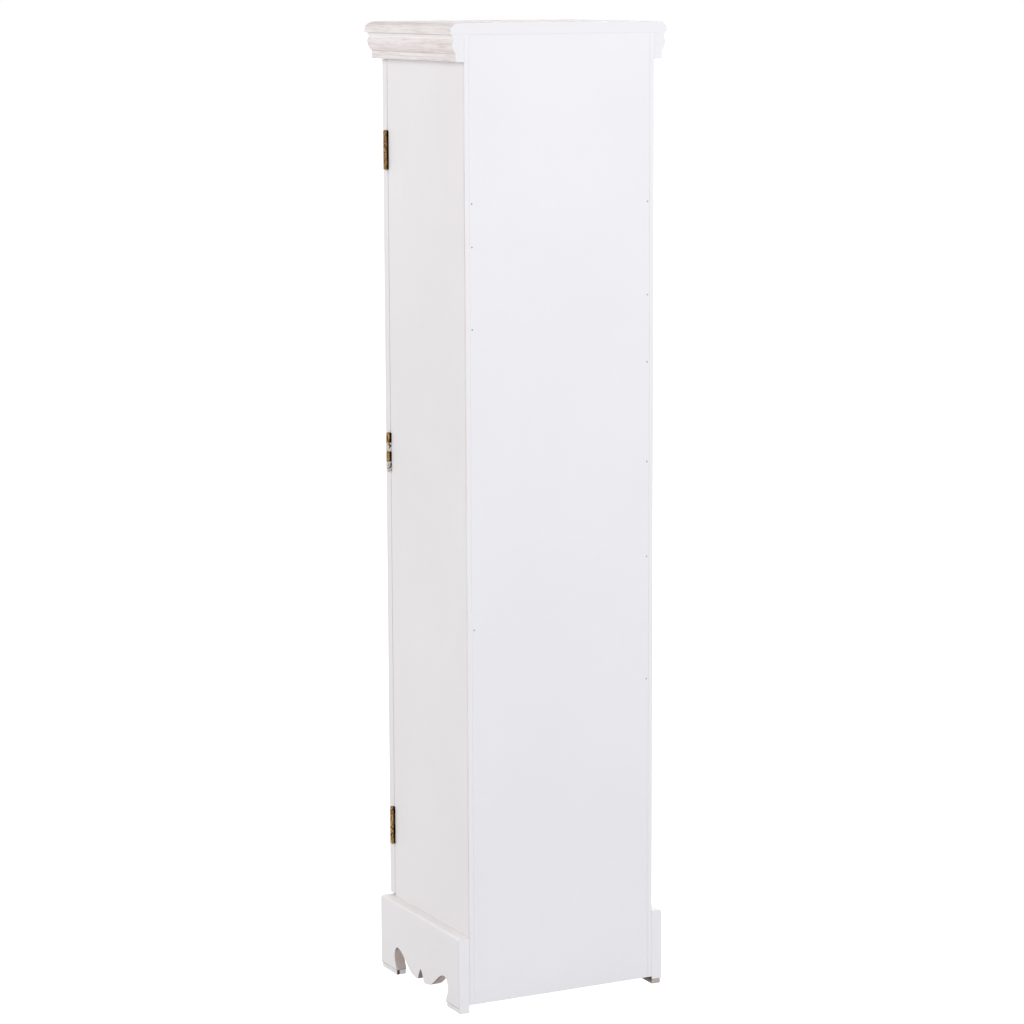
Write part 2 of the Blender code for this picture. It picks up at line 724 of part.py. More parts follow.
def leaf_mesh(knuckles):
    """A hinge leaf about the pin's axis: a plate with rolled knuckles, counted from the top."""
    pitch = HINGE_LENGTH / 4
    outer, inner = BARREL_RADIUS, BARREL_RADIUS - LEAF_THICK
    half = HINGE_LENGTH / 2
    plate = board(
        "leaf_plate",
        (-BARREL_PROUD - LEAF_WIDTH, inner, -half),
        (-BARREL_PROUD - FIT, outer, half),
        edge=0,
    )
    tools = []
    for knuckle in knuckles:
        z = half - pitch * (knuckle - 0.5)
        half_roll = (pitch - FIT) / 2
        tab = board(
            f"leaf_tab_{knuckle}",
            (-BARREL_PROUD - 0.001, inner, z - half_roll), (0, outer, z + half_roll), edge=0,
        )
        at = Matrix.Translation((0, 0, z))
        roll = cylinder(f"leaf_roll_{knuckle}", outer, 2 * half_roll, at)
        tools += [tab, roll]
    for tool in tools:
        boolean(plate, tool, "UNION")
    bore = cylinder("leaf_bore", PIN_RADIUS + PIN_CLEARANCE, 2 * HINGE_LENGTH, Matrix())
    boolean(plate, bore)
    mesh = finished_mesh(plate)
    for ob in (plate, bore, *tools):
        bpy.data.objects.remove(ob)
    return mesh


def hinges(panel, stile):
    """Three butt hinges let into the side panel's edge and the back of the door."""
    case_mesh, door_mesh = leaf_mesh((2, 4)), leaf_mesh((1, 3))
    door_mesh.transform(Matrix.Scale(-1, 4, Y))
    door_mesh.flip_normals()
    half_pin = HINGE_LENGTH / 2 + 0.0010
    head = BARREL_RADIUS - 0.0003
    head_low = HINGE_LENGTH / 2 + 0.0002
    pin_profile = [
        (0, half_pin), (head * 0.75, half_pin - 0.0001), (head, head_low + 0.0003),
        (head, head_low), (PIN_RADIUS, head_low), (PIN_RADIUS, -half_pin), (0, -half_pin),
    ]
    moving = []
    for level, z in HINGE_CENTRES.items():
        at = HINGE_AXIS + Z * z
        matrix = Matrix.Translation(at)
        add_object(f"hinge_{level}_case_leaf", case_mesh, BRASS, matrix)
        moving.append(add_object(f"hinge_{level}_door_leaf", door_mesh, BRASS, matrix))
        turned(f"hinge_{level}_pin", pin_profile, at, Z, BRASS, 16)
        room = BARREL_RADIUS + FIT
        recess = board(
            f"hinge_{level}_recess",
            (HALF - BOARD - 0.001, at.y - room, z - HINGE_LENGTH / 2 - FIT),
            (HALF + 0.001, at.y + room, z + HINGE_LENGTH / 2 + FIT),
            edge=0,
        )
        as_cutter(recess)
        boolean(panel, recess)
        boolean(stile, recess)
    return moving


def hang_door(parts):
    """Everything that swings hangs from one empty on the hinge axis."""
    pivot = bpy.data.objects.new("door_pivot", None)
    PARTS.objects.link(pivot)
    pivot.location = HINGE_AXIS
    bpy.context.view_layer.update()
    for part in parts:
        part.parent = pivot
        part.matrix_parent_inverse = pivot.matrix_world.inverted()


def build():
    panels = side_panels()
    carcass_boards()
    top_board()
    cornice_mouldings()
    skirts()
    shelves()
    velvet_pads()
    ring_rolls()
    bracelet_bar(panels)
    peg_rails()
    members = door_frame()
    door_parts = list(members.values())
    door_parts += mirror_and_beads()
    door_parts += knob_and_screw(members["door_stile_latch"])
    door_parts += magnetic_catch()
    door_parts += door_peg_rail()
    door_parts += hinges(panels["right"], members["door_stile_hinge"])
    hang_door(door_parts)


build()
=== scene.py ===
"""The jewelry armoire's looks: materials, padded pieces, small hardware, floor, light and camera.

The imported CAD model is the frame. Every place comes from its nodes' boxes; sizes are in metres.
"""

import random
from math import cos, pi, radians, sin

import bmesh
import bpy
from mathutils import Matrix, Vector


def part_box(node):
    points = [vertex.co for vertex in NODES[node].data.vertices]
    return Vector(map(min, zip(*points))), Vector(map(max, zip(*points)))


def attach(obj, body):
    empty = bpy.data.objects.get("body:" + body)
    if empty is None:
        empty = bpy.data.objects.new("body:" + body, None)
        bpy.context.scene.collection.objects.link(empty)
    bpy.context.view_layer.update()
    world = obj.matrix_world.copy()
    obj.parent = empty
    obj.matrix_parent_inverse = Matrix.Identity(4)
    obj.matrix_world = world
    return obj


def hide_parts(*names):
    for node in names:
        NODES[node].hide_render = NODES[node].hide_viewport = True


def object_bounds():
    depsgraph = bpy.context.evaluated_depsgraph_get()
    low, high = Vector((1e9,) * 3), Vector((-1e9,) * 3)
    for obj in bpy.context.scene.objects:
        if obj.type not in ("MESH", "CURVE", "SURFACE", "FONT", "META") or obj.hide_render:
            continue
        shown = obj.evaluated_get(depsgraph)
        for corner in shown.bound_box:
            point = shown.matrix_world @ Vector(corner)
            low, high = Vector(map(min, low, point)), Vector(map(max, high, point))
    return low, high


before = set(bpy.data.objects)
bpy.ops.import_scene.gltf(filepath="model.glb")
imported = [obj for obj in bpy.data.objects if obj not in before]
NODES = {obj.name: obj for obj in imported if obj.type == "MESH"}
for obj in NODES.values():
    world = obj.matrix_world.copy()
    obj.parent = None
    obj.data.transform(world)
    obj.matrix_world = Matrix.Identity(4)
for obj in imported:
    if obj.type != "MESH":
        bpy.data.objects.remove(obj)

CAD_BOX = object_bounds()
LOW = CAD_BOX[0]
SCENE = bpy.context.scene

# ---------------------------------------------------------------- camera
CAMERA_PLACE = Vector((1.8947, 3.7273, 1.2938))
CAMERA_AZIMUTH = radians(153.104)  # 0 sees the front, 90 the hinge side, 180 the back
CAMERA_ELEVATION = radians(9.231)
CAMERA_ROLL = radians(-0.234)
CAMERA_LENS = 115.57
SENSOR = 36.0


def make_camera():
    turn, rise, roll = CAMERA_AZIMUTH, CAMERA_ELEVATION, CAMERA_ROLL
    back = Vector((sin(turn) * cos(rise), -cos(turn) * cos(rise), sin(rise)))
    right = (-back).cross(Vector((0, 0, 1))).normalized()
    up = back.cross(right)
    rolled_right = right * cos(roll) + up * sin(roll)
    rolled_up = up * cos(roll) - right * sin(roll)
    data = bpy.data.cameras.new("camera")
    data.sensor_width = SENSOR
    data.lens = CAMERA_LENS
    data.clip_end = 200.0
    camera = bpy.data.objects.new("camera", data)
    SCENE.collection.objects.link(camera)
    camera.matrix_world = Matrix((rolled_right, rolled_up, back)).transposed().to_4x4()
    camera.location = CAMERA_PLACE
    SCENE.camera = camera


# ---------------------------------------------------------------- material helper
class Finish:
    """A procedural material. Nodes are added by type, and sockets set or linked by name.

    Keyword ior sets the shader's socket "IOR", sheen_weight sets "Sheen Weight", and so on.
    """

    def __init__(self, name, **shader):
        self.material = bpy.data.materials.new(name)
        self.material.use_nodes = True
        self.tree = self.material.node_tree
        self.shader = self.tree.nodes["Principled BSDF"]
        self.ground = self.node("TexCoord", out="Object")
        for key, value in shader.items():
            self.set("IOR" if key == "ior" else key.replace("_", " ").title(), value)

    def plug(self, socket, value):
        if isinstance(value, bpy.types.NodeSocket):
            self.tree.links.new(value, socket)
        elif hasattr(value, "__len__") and len(value) == 3 and socket.type == "RGBA":
            socket.default_value = (*value, 1.0)
        else:
            socket.default_value = value

    def set(self, name, value):
        self.plug(self.shader.inputs[name], value)

    def node(self, kind, inputs=None, out=0, **settings):
        made = self.tree.nodes.new("ShaderNode" + kind)
        for key, value in settings.items():
            setattr(made, key, value)
        for key, value in (inputs or {}).items():
            self.plug(made.inputs[key], value)
        return made.outputs[out]

    def place(self, stretch=(1, 1, 1), shift=(0, 0, 0)):
        """Object coordinates: metres in the frame at rest, scaled on each axis."""
        return self.node("Mapping", {"Vector": self.ground, "Scale": stretch, "Location": shift})

    def noise(self, scale, detail=3.0, stretch=(1, 1, 1), distortion=0.0, shift=(0, 0, 0)):
        inputs = {"Vector": self.place(stretch, shift), "Scale": scale, "Detail": detail}
        inputs["Distortion"] = distortion
        return self.node("TexNoise", inputs)

    def span(self, value, low, high, to_low=0.0, to_high=1.0):
        """Maps low..high to to_low..to_high, clamped."""
        inputs = {"Value": value, "From Min": low, "From Max": high}
        inputs.update({"To Min": to_low, "To Max": to_high})
        return self.node("MapRange", inputs)

    def math(self, operation, first, second=0.0):
        return self.node("Math", {0: first, 1: second}, operation=operation)

    def times(self, *values):
        product = values[0]
        for value in values[1:]:
            product = self.math("MULTIPLY", product, value)
        return product

    def mix(self, factor, first, second):
        inputs = {0: factor, 6: first, 7: second}
        return self.node("Mix", inputs, out=2, data_type="RGBA")

    def bump(self, height, distance, below=None):
        inputs = {"Height": height, "Distance": distance}
        if below is not None:
            inputs["Normal"] = below
        return self.node("Bump", inputs)

    def facing(self):
        """The surface's own direction in the frame at rest, as x, y and z sockets."""
        direction = self.node("TexCoord", out="Normal")
        made = self.tree.nodes.new("ShaderNodeSeparateXYZ")
        self.plug(made.inputs[0], direction)
        return made.outputs

    def axes(self):
        made = self.tree.nodes.new("ShaderNodeSeparateXYZ")
        self.plug(made.inputs[0], self.ground)
        return made.outputs

    def line(self, value, middle, half, soft):
        """1 within half of a middle value, fading to 0 over soft."""
        away = self.math("ABSOLUTE", self.math("SUBTRACT", value, middle))
        return self.span(away, half, half + soft, 1.0, 0.0)

    def edges(self, radius, sharpness=0.25):
        """1 along outward and inward edges, 0 on flat stretches."""
        rounded = self.node("Bevel", {"Radius": radius}, samples=6)
        flat = self.node("NewGeometry", out="True Normal")
        same = self.node("VectorMath", {0: rounded, 1: flat}, "Value", operation="DOT_PRODUCT")
        return self.span(same, 1.0 - 0.02, 1.0 - sharpness)


# ---------------------------------------------------------------- materials
PAINT = (0.862, 0.846, 0.856)
PAINT_SHADE = (0.838, 0.818, 0.830)
BACKLIT_COOL_PAINT = (0.860, 0.853, 0.880)  # painted light: the cool light from behind, put into the paint of whatever faces the back
BACKLIT_COOL_SHADE = (0.840, 0.833, 0.862)
PRIMER = (0.700, 0.585, 0.555)  # warm ground that shows where the paint is thin
RAW_BOARD = (0.560, 0.475, 0.440)
BARE_ARRIS = (0.480, 0.330, 0.285)
# raw board darkened as painted shade, for downward faces and the notch
UNDERSIDE_SHADE_BOARD = (0.230, 0.160, 0.130)
PINK_ARRIS = (0.740, 0.600, 0.600)
# a painted highlight for the skirts' rounded top edge
SKIRT_CREST_HIGHLIGHT = (0.965, 0.935, 0.905)
PAD_END = (0.060, 0.048, 0.044)
# browns for the left skirt's pads; inside the foot they carry painted shade
DARK_PAD_BROWN = (0.300, 0.235, 0.210)
PALE_PAD_BROWN = (0.720, 0.640, 0.620)
PAD_DARK = 0.0048  # how far in from a skirt's face its pads' ends are dark
LIMED, LIMED_PALE = (0.822, 0.760, 0.747), (0.888, 0.850, 0.842)
LIMED_FIBRE, LIMED_PATCH = (0.775, 0.668, 0.650), (0.845, 0.836, 0.826)
LIMED_PORE, LIMED_WORN = (0.600, 0.490, 0.455), (0.720, 0.620, 0.590)
# a darker pinkish tone for the moulding's grooves
GROOVE_DARK_TONE = (0.620, 0.500, 0.470)
# a pale pink at the quirk and extra white on the band: painted light lifting the shade under the
# lid
QUIRK_HIGHLIGHT, BAND_PAINT_HIGHLIGHT = (0.960, 0.900, 0.885), (0.930, 0.915, 0.915)
LID_TINT = (0.780, 0.690, 0.665)
BROWN_BRASS, BRIGHT_BRASS = (0.190, 0.098, 0.034), (0.740, 0.470, 0.185)
# the rubbed-edge brass is real wear and also a painted highlight
BRASS_SPOT, RUBBED_BRASS_HIGHLIGHT = (0.075, 0.042, 0.022), (0.860, 0.680, 0.370)
# the near-black is painted shade and dark reflection beside the hinge knuckles
DULL_BRASS, HINGE_SHADOW = (0.085, 0.052, 0.028), (0.030, 0.014, 0.010)
SMEARED_PAINT = (0.640, 0.620, 0.620)


def painted(name, paint, shade, streak, worn=0.34):
    """Satin paint on board: faint clouding, brush streaks, orange peel and thin, worn edges."""
    look = Finish(name, ior=1.47)
    clouds = look.span(look.noise(5.5, 4.0), 0.35, 0.65)
    brushed = look.noise(1.0, 3.0, streak)
    tone = look.mix(clouds, shade, paint)
    tone = look.mix(look.span(brushed, 0.40, 0.75, 0.0, 0.30), tone, shade)
    broken = look.span(look.noise(60.0, 4.0), 0.38, 0.62, 0.25, 1.0)
    wear = look.times(look.edges(0.0016), broken, worn)
    tone = look.mix(wear, tone, PRIMER)
    look.set("Base Color", tone)
    look.set("Roughness", look.span(look.noise(24.0, 4.0), 0.3, 0.7, 0.40, 0.56))
    peel = look.bump(look.noise(520.0, 2.0), 0.00005)
    look.set("Normal", look.bump(brushed, 0.00010, peel))
    return look, tone, wear


def white_paint(name="armoire_white_paint", streak=(260, 260, 7)):
    look, _, _ = painted(name, PAINT, PAINT_SHADE, streak)
    return look.material


def hardboard_paint():
    """The back panel: sprayed smoother than the boards, and tinted a trace cooler as painted light
    from behind.
    """
    look, _, _ = painted(
        "armoire_painted_hardboard", BACKLIT_COOL_PAINT, BACKLIT_COOL_SHADE, (180, 180, 5), 0.08
    )
    return look.material


def skirt_paint(node, across, sign):
    """Painted outside, with raw board on the sawn scallops and on the inner face. The sawn board
    is darkened as painted shade where it faces down and in the notch; the top edge has a painted
    highlight, and faces towards the back a cool tint of painted light.
    """
    look, tone, _ = painted("armoire_" + node, PAINT, PAINT_SHADE, (90, 90, 90), 0.42)
    direction, at = look.facing(), look.axes()
    low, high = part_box(node)
    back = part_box("skirt_right")[1].y
    outward = look.times(direction[across], sign)
    sawn = look.span(outward, 0.30, 0.55, 1.0, 0.0)
    under = look.span(at[2], SKIRT_SAWN_TOP, SKIRT_SAWN_TOP + 0.002, 1.0, 0.0)
    rear = look.span(at[1], back - 0.0010, back - 0.0006, 1.0, 0.0)
    inner = look.times(look.span(outward, -0.5, -0.8, 0.0, 1.0), rear)
    bare = look.math("MAXIMUM", look.times(sawn, under, rear), inner)
    fibre = look.noise(900.0, 4.0)
    dust = look.noise(140.0, 3.0, shift=(3, 1, 2))
    board = look.mix(look.span(fibre, 0.3, 0.7), RAW_BOARD, (0.745, 0.655, 0.620))
    board = look.mix(look.span(dust, 0.45, 0.75, 0.0, 0.55), board, (0.800, 0.750, 0.730))
    # painted shade: the sawn board darker where it faces down, most near the outer face, and in
    # the notch
    overhead = look.span(direction[2], -0.25, -0.75, 0.0, 0.75)
    face = high[across] if sign > 0 else low[across]
    from_face = look.math("ABSOLUTE", look.math("SUBTRACT", at[across], face))
    underside_shade = look.times(overhead, look.span(from_face, 0.0030, 0.0046, 1.0, 0.25))
    run = 1 - across
    centre = (low[run] + high[run]) / 2 + (NOTCH_SHIFT if run == 1 else 0.0)
    notch_shade = look.times(look.line(at[run], centre, 0.011, 0.002), 0.7)
    board = look.mix(look.math("MAXIMUM", underside_shade, notch_shade), board, UNDERSIDE_SHADE_BOARD)
    # painted highlight: a lighter cream along the rounded top edge, where it faces up
    crest_highlight = look.span(direction[2], 0.10, 0.75, 0.0, 0.5)
    crest_highlight = look.times(crest_highlight, look.span(at[2], high.z - 0.012, high.z - 0.006))
    tone = look.mix(crest_highlight, tone, SKIRT_CREST_HIGHLIGHT)
    # faces towards the back take a cool tint: painted light from behind
    tone = look.mix(look.span(direction[1], 0.80, 0.92, 0.0, 0.9), tone, BACKLIT_COOL_PAINT)
    tone = look.mix(bare, tone, board)
    joint = look.line(at[2], PAD_JOINT + 0.0005, 0.00035, 0.0004)
    broken = look.span(look.noise(95.0, 3.0, shift=(1, 6, 2)), 0.36, 0.60, 0.35, 1.0)
    tone = look.mix(look.times(joint, broken, rear), tone, BARE_ARRIS)
    pad = look.times(look.span(at[2], PAD_JOINT - 0.0003, PAD_JOINT, 1.0, 0.0), sawn, rear)
    dark = look.span(from_face, PAD_DARK, PAD_DARK + 0.0004, 1.0, 0.0)
    tone = look.mix(pad, tone, look.mix(dark, PAINT, PAD_END))
    if node == "skirt_left":
        tone = dark_left_foot(look, tone, inner, fibre, from_face)
    arris = look.line(at[1], back - 0.0014, 0.0006, 0.0008)
    arris = look.times(arris, look.span(outward, 0.8, 0.9), broken, 0.5)
    look.set("Base Color", look.mix(arris, tone, PINK_ARRIS))
    return look.material


def dark_left_foot(look, tone, inner, fibre, from_face):
    """The pads of the left skirt: painted shade inside, going black towards the floor, and a
    darker, patchy brown on the rear end.
    """
    height = look.axes()[2]
    low_down = look.span(height, PAD_JOINT, PAD_JOINT + 0.0008, 1.0, 0.0)
    ending = look.times(low_down, look.span(look.facing()[1], 0.5, 0.8))
    ending = look.times(ending, look.span(from_face, 0.0014, 0.0040))
    # the rear end of the pad, below the joint: a darker, patchy brown
    patchy = look.mix(look.span(fibre, 0.35, 0.65), DARK_PAD_BROWN, PALE_PAD_BROWN)
    tone = look.mix(ending, tone, patchy)
    # painted shade on the inside of the foot, deepening to near black towards the floor
    inside_shade = look.times(inner, look.span(height, PAD_JOINT + 0.003, PAD_JOINT + 0.004, 1.0, 0.0))
    depth = look.span(height, PAD_JOINT * 0.3, PAD_JOINT)
    return look.mix(inside_shade, tone, look.mix(depth, DARK_PAD_BROWN, PAD_END))


def side_paint():
    """The side panels: white paint, worn to a pinkish line beside the back arris, and tinted cool
    where they face the back as painted light.
    """
    look, tone, _ = painted("armoire_side_paint", PAINT, PAINT_SHADE, (260, 260, 7))
    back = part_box("side_panel_right")[1].y
    at = look.axes()
    arris = look.line(at[1], back - 0.0016, 0.0006, 0.0010)
    worn = look.span(look.noise(1.0, 3.0, (40, 40, 9), shift=(2, 2, 6)), 0.38, 0.62, 0.25, 0.85)
    # faces towards the back take a cool tint: painted light from behind
    backlit_faces = look.span(look.facing()[1], 0.80, 0.92, 0.0, 0.9)
    tone = look.mix(backlit_faces, tone, BACKLIT_COOL_PAINT)
    look.set("Base Color", look.mix(look.times(arris, worn), tone, PINK_ARRIS))
    return look.material


def limed_wood(name, along, lid=False):
    """Wood rubbed with white: pinkish grain streaks along one axis, smooth paint on the ends,
    tinted cool as painted light from behind.
    """
    look = Finish(name, ior=1.46)
    at = look.axes()
    if lid:
        end_strips(look, at)

    def grain(across_scale, along_scale):
        return tuple(along_scale if i == along else across_scale for i in range(3))

    bands = look.noise(1.0, 3.0, grain(240, 12), 0.2)
    fibres = look.noise(1.0, 4.0, grain(620, 26), 0.25, (5, 5, 5))
    pores = look.noise(1.0, 2.0, grain(1150, 34), 0.0, (9, 2, 4))
    patches = look.noise(26.0, 3.0)
    tone = look.mix(look.span(bands, 0.36, 0.64), LIMED, LIMED_PALE)
    tone = look.mix(look.span(fibres, 0.50, 0.68, 0.0, 0.80), tone, LIMED_FIBRE)
    tone = look.mix(look.span(patches, 0.50, 0.72, 0.0, 0.50), tone, LIMED_PATCH)
    pits = look.span(pores, 0.60, 0.70)
    tone = look.mix(look.times(pits, 0.42), tone, LIMED_PORE)
    wear = look.times(look.edges(0.0016), look.span(look.noise(70.0), 0.35, 0.65), 0.36)
    tone = look.mix(wear, tone, LIMED_WORN)
    if not lid:
        broken = look.span(look.noise(1.0, 3.0, grain(120, 22)), 0.35, 0.60, 0.35, 0.9)
        # darker pinkish lines along the moulding's grooves
        for groove in MOULDING_GROOVES:
            hollow = look.line(at[2], groove, 0.0002, 0.0003)
            tone = look.mix(look.times(hollow, broken, 0.6), tone, GROOVE_DARK_TONE)
        # painted light: a pale pink line lifts the shade under the band's ledge
        tone = look.mix(look.line(at[2], MOULDING_QUIRK, 0.0006, 0.0006), tone, QUIRK_HIGHLIGHT)
        # the band is white paint, whitened further as painted light against the lid's shade
        tone = look.mix(look.line(at[2], MOULDING_BAND, 0.0019, 0.0003), tone, BAND_PAINT_HIGHLIGHT)
    direction = look.facing()
    if lid:
        top = look.span(direction[2], 0.70, 0.98, 0.0, 0.2)
        tone = look.mix(top, tone, LID_TINT)
    # the ends are smooth white paint, tinted cool as painted light from behind
    ends = look.span(direction[1], 0.80, 0.92)
    look.set("Base Color", look.mix(ends, tone, BACKLIT_COOL_SHADE))
    look.set("Roughness", look.span(fibres, 0.3, 0.7, 0.56, 0.74))
    look.set("Specular IOR Level", 0.25)
    carved = look.math("SUBTRACT", look.times(fibres, 0.5), look.times(pits, 0.8))
    painted_out = look.span(ends, 0.0, 1.0, 1.0, 0.05)
    look.set("Normal", look.bump(look.times(carved, painted_out), 0.00022))
    return look.material


def end_strips(look, at):
    """Turns the grain round on the strips at the lid's two ends, mitred at the front."""
    low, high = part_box("top_board")
    from_end = look.math("SUBTRACT", high.x, look.math("ABSOLUTE", at[0]))
    from_front = look.math("SUBTRACT", at[1], low.y)
    near_end = look.math("LESS_THAN", from_end, LID_STRIP)
    strip = look.times(near_end, look.math("LESS_THAN", from_end, from_front))
    turned = look.node("CombineXYZ", {"X": at[1], "Y": at[0], "Z": at[2]})
    inputs = {0: strip, 4: look.ground, 5: turned}
    look.ground = look.node("Mix", inputs, out=1, data_type="VECTOR")


def aged_brass(name="armoire_aged_brass", hinge=False, smeared=False):
    """Brass gone brown in its hollows, rubbed bright on its edges, which doubles as a painted
    highlight there.

    A hinge is painted near-black towards the cabinet, as shade and dark reflection, and is darker
    high up; smeared has paint on it.
    """
    look = Finish(name, metallic=1.0)
    patina = look.noise(360.0, 4.0, distortion=0.4)
    spots = look.noise(760.0, 3.0, shift=(2, 7, 1))
    tone = look.mix(look.span(patina, 0.42, 0.58), BROWN_BRASS, BRIGHT_BRASS)
    tone = look.mix(look.span(spots, 0.53, 0.64, 0.0, 0.8), tone, BRASS_SPOT)
    # rubbed edges: real wear, and a painted highlight along every edge
    rubbed_highlight = look.times(look.edges(0.0006), look.span(patina, 0.3, 0.6, 0.2, 0.7))
    tone = look.mix(rubbed_highlight, tone, RUBBED_BRASS_HIGHLIGHT)
    if hinge:
        low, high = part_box("hinge_upper_pin")
        axis = (low.x + high.x) / 2
        at = look.axes()
        dull = look.span(at[2], low.z - 0.3, low.z, 0.0, 0.32)
        tone = look.mix(dull, tone, DULL_BRASS)
        # painted shade and dark reflection: the knuckles go near-black on the side towards the
        # cabinet
        knuckle_shadow = look.span(at[0], axis - 0.0006, axis + 0.0003, 0.96, 0.0)
        tone = look.mix(knuckle_shadow, tone, HINGE_SHADOW)
    roughness = look.span(patina, 0.3, 0.7, 0.46, 0.26)
    if smeared:
        paint = look.span(look.noise(300.0, 4.0, shift=(4, 4, 8)), 0.44, 0.52)
        tone = look.mix(paint, tone, SMEARED_PAINT)
        roughness = look.span(paint, 0.0, 1.0, 0.38, 0.62)
        look.set("Metallic", look.span(paint, 0.0, 1.0, 1.0, 0.0))
    look.set("Base Color", tone)
    look.set("Roughness", roughness)
    scratches = look.noise(1.0, 2.0, (2600, 2600, 160))
    look.set("Normal", look.bump(scratches, 0.00003, look.bump(patina, 0.00004)))
    return look.material


def zinc_steel():
    look = Finish("armoire_zinc_steel", metallic=1.0)
    at = look.place()
    spangle = look.node("TexVoronoi", {"Vector": at, "Scale": 480.0}, "Distance")
    tone = look.mix(look.span(spangle, 0.1, 0.7), (0.600, 0.600, 0.590), (0.470, 0.475, 0.480))
    rust = look.span(look.noise(300.0, 4.0), 0.60, 0.72, 0.0, 0.5)
    look.set("Base Color", look.mix(rust, tone, (0.260, 0.160, 0.095)))
    look.set("Roughness", look.span(spangle, 0.0, 0.8, 0.28, 0.45))
    look.set("Normal", look.bump(spangle, 0.00003))
    return look.material


def nail_steel():
    """Small nail heads, darkened, with specks of the paint that went over them."""
    look = Finish("armoire_nail_steel", metallic=0.0)
    paint = look.span(look.noise(900.0, 3.0), 0.48, 0.60, 0.15, 0.65)
    look.set("Base Color", look.mix(paint, (0.170, 0.155, 0.155), PAINT_SHADE))
    look.set("Roughness", look.span(paint, 0.0, 0.6, 0.42, 0.60))
    look.set("Normal", look.bump(look.noise(2400.0), 0.00004))
    return look.material


def mirror_glass():
    look = Finish("armoire_mirror_glass", metallic=1.0)
    rim = look.edges(0.0030, 0.5)
    smudge = look.span(look.noise(7.0, 5.0, distortion=0.8), 0.52, 0.78)
    look.set("Base Color", look.mix(rim, (0.885, 0.905, 0.905), (0.560, 0.660, 0.625)))
    look.set("Roughness", look.span(smudge, 0.0, 1.0, 0.012, 0.045))
    look.set("Normal", look.bump(look.noise(6.0, 1.0), 0.00012))
    return look.material


def grey_velvet():
    """Cotton velvet: short pile that catches light at a slant, brushed lighter in places."""
    look = Finish("armoire_grey_velvet", sheen_weight=0.75, sheen_roughness=0.34)
    look.set("Sheen Tint", (0.86, 0.82, 0.88))
    pile = look.noise(2300.0, 2.0)
    brushed = look.noise(38.0, 4.0, (1, 1.6, 1), 0.9)
    tone = look.mix(look.span(brushed, 0.34, 0.66), (0.205, 0.185, 0.215), (0.325, 0.300, 0.335))
    tone = look.mix(look.span(pile, 0.35, 0.65, 0.0, 0.45), tone, (0.125, 0.110, 0.130))
    look.set("Base Color", tone)
    look.set("Roughness", look.span(brushed, 0.3, 0.7, 0.96, 0.80))
    nap = look.bump(brushed, 0.0006)
    look.set("Normal", look.bump(pile, 0.00035, nap))
    return look.material


def white_plastic():
    look = Finish("armoire_white_plastic", ior=1.49)
    mottle = look.noise(160.0, 3.0)
    tone = look.mix(look.span(mottle, 0.35, 0.65), (0.770, 0.765, 0.745), (0.815, 0.810, 0.795))
    look.set("Base Color", tone)
    look.set("Roughness", look.span(mottle, 0.3, 0.7, 0.34, 0.44))
    look.set("Normal", look.bump(look.noise(1500.0, 2.0), 0.00004))
    return look.material


SKIRT_SAWN_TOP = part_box("skirt_right")[1].z * 0.45  # above every scallop, below the top edge
NOTCH_SHIFT = 0.0036  # the side skirts' notch sits this far behind their middle
PAD_JOINT = LOW.z + 0.0063  # where the skirt's feet step in to their pads
MOULDING_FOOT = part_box("cornice_moulding_front")[0].z
MOULDING_BAND = MOULDING_FOOT + 0.0306  # middle of the band under the lid: white paint, made whiter as painted light against the lid's shade
MOULDING_GROOVES = (MOULDING_FOOT + 0.0050, MOULDING_FOOT + 0.0098)
MOULDING_QUIRK = MOULDING_FOOT + 0.0282
LID_STRIP = 0.0165  # width of the lid's end strips, whose grain runs front to back


def finish_cad_nodes():
    """Gives every CAD node its material, by its packed slot, and soft shading on its roundings."""
    brass = aged_brass()
    looks = {
        "white_paint": white_paint(),
        "painted_hardboard": hardboard_paint(),
        "limed_wood": limed_wood("armoire_limed_wood_x", 0),
        "aged_brass": brass,
        "zinc_steel": zinc_steel(),
        "mirror_glass": mirror_glass(),
        "grey_velvet": grey_velvet(),
        "white_plastic": white_plastic(),
    }
    wood_along_y = limed_wood("armoire_limed_wood_y", 1)
    lid_wood = limed_wood("armoire_limed_lid", 0, True)
    level_paint = white_paint("armoire_white_paint_level", (7, 260, 260))
    panel_paint = side_paint()
    hinge_brass = aged_brass("armoire_hinge_brass", hinge=True)
    special = {
        "top_board": lid_wood,
        "cornice_moulding_right": wood_along_y,
        "cornice_moulding_left": wood_along_y,
        "skirt_right": skirt_paint("skirt_right", 0, 1.0),
        "skirt_left": skirt_paint("skirt_left", 0, -1.0),
        "skirt_front": skirt_paint("skirt_front", 1, -1.0),
        "side_panel_right": panel_paint,
        "side_panel_left": panel_paint,
        "hinge_middle_case_leaf": aged_brass("armoire_smeared_brass", hinge=True, smeared=True),
        "door_rail_top": level_paint,
        "door_rail_bottom": level_paint,
        "necklace_rail": level_paint,
        "door_peg_rail": level_paint,
        "ring_shelf_lip": level_paint,
    }
    shading = soft_shading_nodes()
    for name, node in NODES.items():
        slot = node.material_slots[0]
        usual = looks[slot.material.name.split(".")[0]]
        if name.startswith("hinge_"):
            usual = hinge_brass
        slot.material = special.get(name, usual)
        smooth = node.modifiers.new("soft_shading", "NODES")
        smooth.node_group = shading
        weighted = node.modifiers.new("weighted_normals", "WEIGHTED_NORMAL")
        weighted.keep_sharp = True
    return looks


